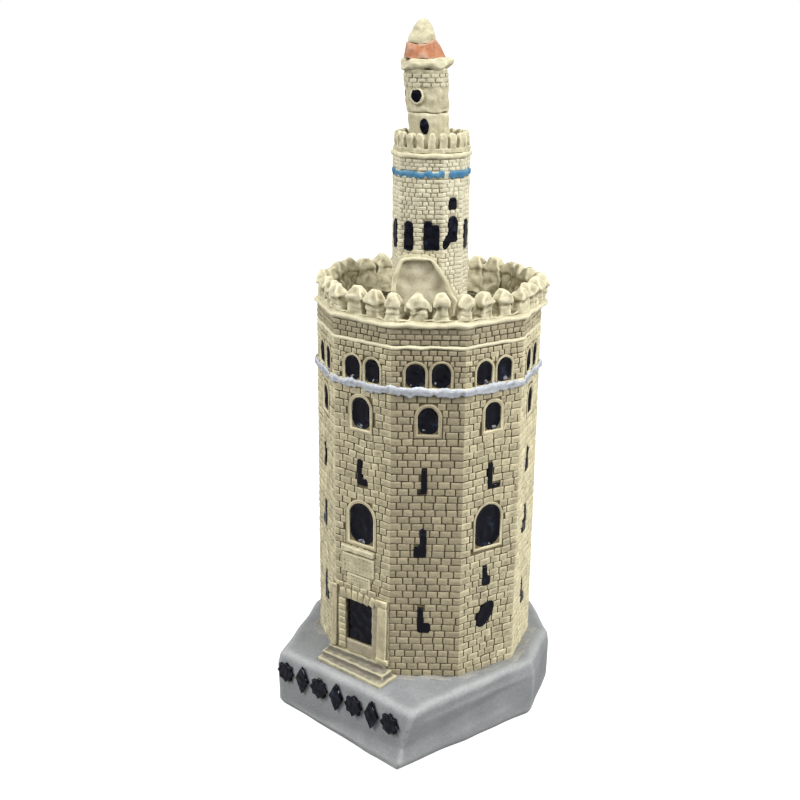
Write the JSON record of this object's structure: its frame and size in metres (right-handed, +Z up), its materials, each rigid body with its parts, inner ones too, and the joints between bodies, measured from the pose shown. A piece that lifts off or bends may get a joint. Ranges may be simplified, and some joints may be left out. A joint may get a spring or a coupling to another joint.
{
  "type": "miniature landmark model",
  "caption": "Cast and painted miniature of a ten-sided brick watchtower with battlements, a slim turret and a tiled lantern, on a grey plinth.",
  "frame": {"origin": "on the tower's axis, on the underside of the pad that the plinth stands on", "axes": "+Z up through the spire; -Y out of the middle one of the front walls; the door side looks towards -X and -Y"},
  "size_m": [0.0588, 0.0636, 0.1421],
  "materials": {
    "sand_brick": "matte",
    "shaded_stone": "matte",
    "cream_trim": "matte",
    "plinth_grey": "satin",
    "navy_paint": "gloss",
    "white_paint": "satin",
    "blue_paint": "satin",
    "terracotta_paint": "satin",
    "pad_felt": "matte"
  },
  "bodies": {
    "root": {"felt_pad": "pad_felt", "plinth": "plinth_grey", "plinth_ornament_1": "navy_paint", "plinth_ornament_2": "navy_paint", "plinth_ornament_3": "navy_paint", "plinth_ornament_4": "navy_paint", "plinth_ornament_5": "navy_paint", "plinth_ornament_6": "navy_paint", "plinth_ornament_7": "navy_paint", "lower_wall": "sand_brick", "white_string_course": "white_paint", "gallery_wall": "sand_brick", "upper_string_course": "cream_trim", "door_leaf": "navy_paint", "door_surround": "cream_trim", "upper_plaque": "cream_trim", "lower_plaque": "cream_trim", "window_ledge": "cream_trim", "door_steps": "cream_trim", "terrace_deck": "shaded_stone", "parapet_wall": "sand_brick", "cornice": "cream_trim", "battlements": "cream_trim", "turret_wall": "sand_brick", "blue_band": "blue_paint", "turret_upper_wall": "sand_brick", "turret_cornice": "cream_trim", "stair_hood": "cream_trim", "turret_crown": "cream_trim", "lantern_base": "cream_trim", "lantern_drum": "cream_trim", "lantern_eaves": "cream_trim", "tile_roof": "terracotta_paint", "spire": "cream_trim"}
  },
  "joints": []
}
